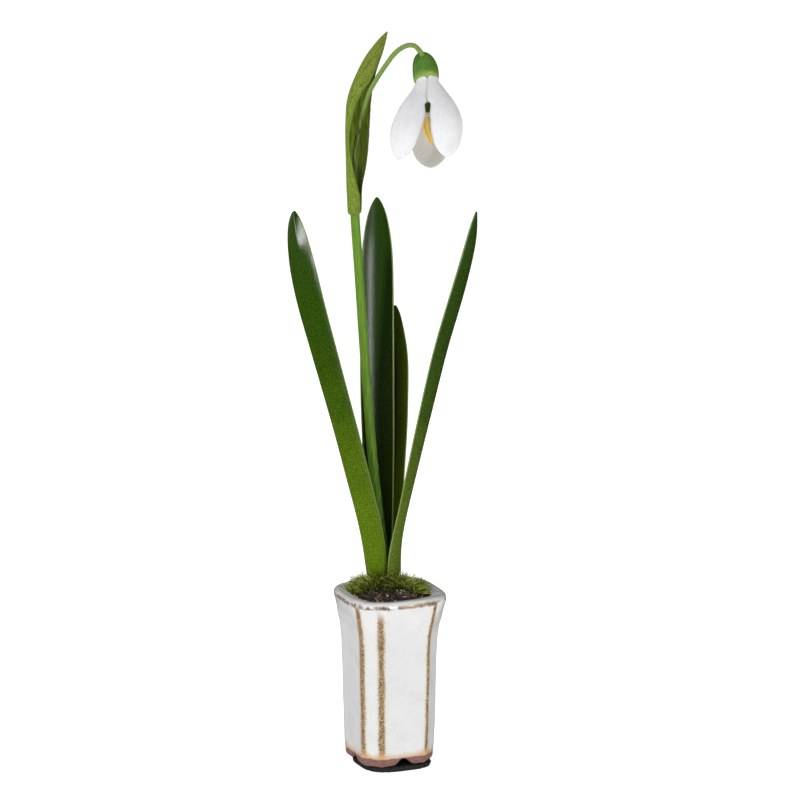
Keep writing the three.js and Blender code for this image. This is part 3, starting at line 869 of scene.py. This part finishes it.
def leaf_finish(name, low, high, margin, shade=(2, 3, 1, 0), polish=((0, 0.3), (1, 0.3))):
    """A glossy strap leaf: pale at its thin margins, streaked and flecked along its length, darker upwards.
    The shade is painted shade: where across the blade it starts and ends, what share of its colour is left,
    and how much that line leans. The polish gives how strongly it shines at heights along it."""
    f = Finish(name)
    along, across, side = (f.attribute(key) for key in ("along", "across", "side"))
    flat = f.join(f.times(across, 4.0), f.times(along, 0.07), f.times(side, 9.0))
    streaks = f.noise(flat, 0.16, 3, 0.6)
    flecks = f.noise(f.join(f.times(across, 4.5), f.times(along, 0.75), f.times(side, 5.0)), 0.42, 3, 0.8)
    patches = f.noise(f.spot(), 11, 2)
    height = f.sum(along, f.times(f.sum(patches, 0.5, "SUBTRACT"), 40))
    colour = f.mix(f.span(height, 20, 115), low, high)
    pale = tuple(min(1, c * 1.9 + 0.01) for c in low)
    colour = f.mix(f.times(f.span(flecks, 0.5, 0.62), f.span(height, 130, 15, 0.14, 0.75)), colour, pale)
    colour = f.mix(f.times(f.span(flecks, 0.48, 0.38), 0.4), colour, tuple(c * 0.6 for c in high))
    colour = f.mix(f.times(f.span(streaks, 0.5, 0.3), 0.35), colour, tuple(c * 0.45 for c in high))
    # Painted shade: the side of the blade that faces away from the light is darkened in its colour, lower down.
    start, end, left, lean = shade
    painted_shade_colour = f.mix(1.0, colour, (left, left, left), "MULTIPLY")
    aside = f.sum(across, f.times(along, lean))
    colour = f.mix(f.times(f.span(aside, start, end), f.span(height, 168, 124)), colour, painted_shade_colour)
    rim = f.span(f.sum(f.size_of(across), f.times(f.sum(flecks, 0.5, "SUBTRACT"), 0.08)), 0.93, 0.985)
    colour = f.mix(f.times(rim, 0.8), colour, margin)
    gloss = f.sum(0.24, f.times(f.sum(flecks, 0.5, "SUBTRACT"), 0.22))
    relief = f.sum(f.times(streaks, 0.8), f.times(flecks, 0.5))
    shine = f.ramp(f.times(along, 1 / 200), *((height / 200, (level,) * 3) for height, level in polish))
    return f.done(Base_Color=colour, Roughness=gloss, Specular_IOR_Level=shine, Normal=f.bump(relief, 0.05))


# Each leaf's low and high greens and margin; the centre and short leaves also carry painted shade across their blades.
LEAF_LOOKS = {
    "leaf_left": (
        (0.094, 0.158, 0.003), (0.02, 0.057, 0.001), (0.2, 0.3, 0.05), (2, 3, 1, 0),
        ((128, 0.06), (138, 0.28), (150, 0.6)),
    ),
    "leaf_right": ((0.085, 0.135, 0.009), (0.02, 0.052, 0.003), (0.22, 0.33, 0.08)),
    "leaf_centre": (
        (0.034, 0.064, 0.002), (0.018, 0.05, 0.002), (0.2, 0.29, 0.07), (-1.5, -0.95, 0.34, -0.0125),
        ((60, 0.16), (100, 0.38), (136, 0.36), (149, 0.1)),
    ),
    "leaf_short": ((0.036, 0.054, 0.001), (0.034, 0.052, 0.001), (0.2, 0.27, 0.06), (0.1, -0.2, 0.36, 0)),
}


def stem_finish(name, low, high, start=20, end=150, roughness=0.42):
    """A smooth stem, streaked along its length, that turns from one green to another on the way up."""
    f = Finish(name)
    at, along = f.spot(), f.attribute("along")
    streaks = f.noise(f.spot((1, 1, 14)), 0.45, 3, 0.6)
    flecks = f.noise(at, 0.5, 3, 0.7)
    colour = f.mix(f.span(f.sum(along, f.times(streaks, (end - start) / 4)), start, end), low, high)
    colour = f.mix(f.times(f.span(streaks, 0.42, 0.68), 0.4), colour, tuple(min(1, c * 1.5) for c in high))
    colour = f.mix(f.times(f.span(flecks, 0.56, 0.75), 0.3), colour, tuple(c * 0.55 for c in low))
    relief = f.sum(f.times(streaks, 0.8), f.times(flecks, 0.4))
    return f.done(Base_Color=colour, Roughness=roughness, Specular_IOR_Level=0.1, Normal=f.bump(relief, 0.06))


def lengthen(rod, direction, amount):
    """Stretches the last of a rod's length, into the piece that it meets."""
    along = values_of(rod, "along")
    for vertex, distance in zip(rod.data.vertices, along):
        vertex.co += direction * amount * max(0, 1 - (along.max() - distance) / 3)


def fold_tip(leaf):
    """Folds one side of a leaf's last 20 mm or so back along its middle, like a hood."""
    along, across = values_of(leaf, "along"), values_of(leaf, "across")
    start = along.max() - 20
    places = []
    for vertex, distance, share in zip(leaf.data.vertices, along, across):
        folded = 1 - (1 - max(0, share - 0.05) / 0.95) ** 2
        places.append(vertex.co - FRONT * 1.5 * MM * folded * ease(distance, start, start + 12))
    place(leaf, places)


def build_leaves():
    for node, look in LEAF_LOOKS.items():
        leaf = refine_sheet(node, node + "_blade", -UP)
        if node == "leaf_left":
            fold_tip(leaf)
        show(leaf, leaf_finish(node + "_green", *look), "leaf", node)
    stem = refine_rod("flower_stem", "stem_rod", -UP)
    show(stem, stem_finish("stem_green", (0.04, 0.082, 0.004), (0.118, 0.245, 0.021), 30, 160), "stem", "flower_stem")
    stalk = refine_rod("pedicel", "stalk_rod", -UP)
    lengthen(stalk, RIGHT * 0.5 - UP, 1.3 * MM)
    # Painted shade: the stalk is painted dark low down, where it runs inside the spathe's fold.
    green = stem_finish("stalk_green_painted_shade", (0.03, 0.05, 0.003), (0.175, 0.27, 0.06), 24, 38)
    show(stalk, green, "stem", "pedicel")


# ---- Spathe ----


def spathe_finish():
    """Thin woven cloth, olive green with long dark and brown streaks; its inside face is painted darker, as the shade
    inside the fold.
    """
    f = Finish("spathe_cloth")
    along, across, side = (f.attribute(key) for key in ("along", "across", "side"))
    weave = f.noise(f.join(f.times(across, 9.0), f.times(along, 0.8), side), 0.42, 3, 0.75)
    streaks = f.noise(f.join(f.times(across, 5.0), f.times(along, 0.06), f.times(side, 7.0)), 0.34, 3, 0.6)
    colour = f.ramp(weave, (0.36, (0.09, 0.16, 0.007)), (0.5, (0.165, 0.24, 0.02)), (0.64, (0.27, 0.36, 0.05)))
    colour = f.mix(f.times(f.span(streaks, 0.5, 0.36), 0.6), colour, (0.05, 0.085, 0.004))
    brown = f.times(f.span(f.sum(along, f.times(streaks, 24)), 50, 78), f.span(streaks, 0.42, 0.62))
    colour = f.mix(f.times(brown, 0.7), colour, (0.2, 0.15, 0.025))
    # Painted light and shade: the inside is painted dark as shade, lit up where light reaches into the fold, and left
    # darkest near one margin low down.
    inside_painted_shade = f.ramp(streaks, (0.34, (0.04, 0.062, 0.001)), (0.5, (0.072, 0.102, 0.003)), (0.66, (0.11, 0.15, 0.008)))
    lit = f.most(f.span(across, 0.75, 0.35), f.span(along, 26, 40))
    inside_painted_shade = f.mix(lit, inside_painted_shade, f.mix(1.0, inside_painted_shade, (2.6, 2.6, 3), "MULTIPLY"))
    colour = f.mix(f.span(side, 0.7, 0.3, 0, 0.92), colour, inside_painted_shade)
    rim = f.span(f.sum(f.size_of(across), f.times(weave, 0.1)), 0.97, 1.03)
    colour = f.mix(f.times(rim, 0.65), colour, (0.06, 0.08, 0.01))
    relief = f.sum(weave, f.times(streaks, 0.9))
    return f.done(Base_Color=colour, Roughness=0.75, Specular_IOR_Level=0.2, Normal=f.bump(relief, 0.14))


def build_threads(spathe):
    """Short frayed threads along the spathe's margins and its lower edge."""
    pick = random.Random(5)
    along, across = values_of(spathe, "along"), values_of(spathe, "across")
    frayed = (along < 0.5) | ((np.abs(across) > 0.97) & (along < 48))
    edge = [spathe.data.vertices[i] for i in np.flatnonzero(frayed)]
    heap = Heap("along", "across", "side")
    for vertex in pick.choices(edge, k=150):
        stray = Vector((pick.gauss(0, 1), pick.gauss(0, 1), pick.gauss(0, 1)))
        direction = (stray + vertex.normal * 0.5 - UP * 0.7 * (along[vertex.index] < 0.5)).normalized()
        length = pick.uniform(0.4, 1.3) * MM
        numbers = {"along": along[vertex.index], "across": pick.uniform(-0.8, 0.8), "side": 1}
        add_fibre(heap, vertex.co, direction, length, 0.12 * MM, stray * length * 0.2, **numbers)
    return heap.piece("spathe_threads")


def build_spathe():
    finish = spathe_finish()
    spathe = refine_sheet("spathe", "spathe_sheet", -UP, -FRONT)
    show(spathe, finish, "spathe", "spathe")
    threads = show(build_threads(spathe), finish, "spathe")
    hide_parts("spathe")


# ---- Flower ----


def ovary_finish():
    f = Finish("ovary_green")
    at, along = f.spot(), f.attribute("along")
    streaks = f.noise(f.spot((1, 1, 6)), 0.7, 3, 0.6)
    green = f.ramp(streaks, (0.35, (0.055, 0.15, 0.014)), (0.65, (0.1, 0.225, 0.024)))
    glow = f.span(f.sum(along, f.times(streaks, 1.5)), 3.8, 1.4)
    colour = f.mix(f.times(glow, 0.75), green, (0.38, 0.5, 0.09))
    bump = f.bump(f.noise(at, 0.5, 3), 0.04)
    return f.done(Base_Color=colour, Roughness=0.4, Specular_IOR_Level=0.25, Normal=bump)


def petal_finish(name, white, veins=0.3):
    """White cloth with a fine grain, faint veins down its length, and a grey margin painted as the shade at its
    outline.
    """
    f = Finish(name)
    at, along, across = f.spot(), f.attribute("along"), f.attribute("across")
    grain = f.noise(at, 0.5, 3, 0.85)
    lines = f.noise(f.join(f.times(across, 6.0), f.times(along, 0.06)), 0.4, 3, 0.6)
    clouds = f.noise(at, 4.5, 2)
    shade = f.sum(f.times(lines, veins), f.sum(f.times(grain, 0.8), f.times(clouds, 0.3)))
    colour = f.ramp(shade, (0.55, tuple(c * 0.84 for c in white)), (0.82, white))
    # Painted shade: the margins are greyed, as the shade where the petal curves away at its outline.
    edge = f.span(f.sum(f.size_of(across), f.times(grain, 0.1)), 0.97, 1.04, 0, 0.4)
    colour = f.mix(edge, colour, (0.4, 0.4, 0.4))
    relief = f.sum(f.times(grain, 1.2), f.times(lines, 0.8))
    return f, colour, f.bump(relief, 0.1)


def reshape(piece, move):
    """Moves each vertex by a function of its place in the flower's own frame, in millimetres, and its numbers."""
    home = FLOWER.inverted()
    across = values_of(piece, "across") if "across" in piece.data.attributes else [0] * len(piece.data.vertices)
    moved = [FLOWER @ (move(home @ v.co / MM, share) * MM) for v, share in zip(piece.data.vertices, across)]
    place(piece, moved)


def lower_rim(at, _):
    """The ovary's lower rim hangs over the petals at the sides and back, and is raised at the front."""
    lowered = at - UP * ease(at.z, 4.6, 1.2) * (2.2 + 0.43 * at.y) + UP * 0.6 * ease(at.z, 3, 9)
    return Vector((lowered.x * 1.05, lowered.y * 1.05, lowered.z))


def tuck_base(at):
    """Draws the petals' bases in, under the ovary's rim."""
    inwards = 1 - 0.12 * ease(at.z, -3.4, -1.2)
    return Vector((at.x * inwards, at.y * inwards, at.z))


def close_slit(towards):
    """Brings a front petal's inner margin over to meet its neighbour's, above the opening."""

    def move(at, across):
        by_height = ease(at.z, -10.6, -8.4) * ease(-at.z, -1.2, 0.5) * (0.85 + 0.6 * ease(-at.z, 4, 8))
        return tuck_base(at) + Vector((towards * by_height * max(0, across * towards) ** 2, 0, 0))

    return move


def build_petals():
    f, colour, normal = petal_finish("petal_cloth", (0.83, 0.83, 0.846))
    shaded = f.mix(1.0, colour, (0.97, 0.96, 0.91), "MULTIPLY")
    colour = f.mix(f.span(f.attribute("side"), 0.3, 0.7), shaded, colour)
    cloth = f.done(Base_Color=colour, Roughness=0.6, Specular_IOR_Level=0.3, Normal=normal)
    moves = {"left": close_slit(1), "right": close_slit(-1), "back": lambda at, _: tuck_base(at)}
    for way, move in moves.items():
        petal = refine_sheet(f"outer_petal_{way}", f"petal_{way}", FLOWER_UP)
        reshape(petal, move)
        show(petal, cloth, "petal", f"outer_petal_{way}")

    f, colour, normal = petal_finish("inner_cloth", (0.8, 0.81, 0.72))
    along, across = f.attribute("along"), f.size_of(f.attribute("across"))
    low = f.sum(along, f.times(across, 1.5))
    high = f.sum(along, f.times(across, 1.2))
    mark = f.times(f.span(high, 8.2, 9.0), f.span(low, 12.6, 12.0))
    colour = f.mix(mark, colour, (0.05, 0.11, 0.006))
    inner = f.done(Base_Color=colour, Roughness=0.55, Specular_IOR_Level=0.3, Normal=normal)
    for way in ("front", "left", "right"):
        petal = refine_sheet(f"inner_petal_{way}", f"inner_{way}", FLOWER_UP)
        show(petal, inner, "inner_petal", f"inner_petal_{way}")


def build_flower():
    ovary = refine_rod("ovary", "ovary_body", -FLOWER_UP)
    reshape(ovary, lower_rim)
    show(ovary, ovary_finish(), "ovary", "ovary")
    build_petals()

    f = Finish("anther_gold")
    gold = f.ramp(f.noise(f.spot((1, 1, 3)), 0.7, 3), (0.35, (0.92, 0.58, 0.07)), (0.65, (0.98, 0.76, 0.26)))
    anther = f.done(Base_Color=gold, Roughness=0.6, Normal=f.bump(f.noise(f.spot(), 0.35, 3), 0.08))
    for i in range(1, 7):
        stamen = refine_rod(f"stamen_{i}", f"anther_{i}", FLOWER_UP, 1)
        reshape(stamen, lambda at, _: Vector((at.x * 1.42, at.y * 1.42, at.z)))
        show(stamen, anther, "stamen", f"stamen_{i}")
    f = Finish("style_pale")
    pale = f.ramp(f.noise(f.spot(), 0.7), (0.3, (0.62, 0.64, 0.42)), (0.7, (0.74, 0.75, 0.6)))
    style = refine_rod("style", "style_rod", FLOWER_UP, 1)
    show(style, f.done(Base_Color=pale, Roughness=0.5), "inner_petal", "style")


# ---- Floor ----


def build_floor():
    bpy.ops.mesh.primitive_plane_add(size=12)
    floor = bpy.context.active_object
    floor.name = "floor"
    f = Finish("floor_white")
    floor.data.materials.append(
        f.done(Base_Color=(0.93, 0.93, 0.93), Roughness=0.9, Emission_Color=(1, 1, 1), Emission_Strength=0.76)
    )
    floor.visible_glossy = False  # no haze from it on the dark leaves


add_camera()
add_studio()
build_floor()
build_pot()
build_moss(build_soil())
build_leaves()
build_spathe()
build_flower()
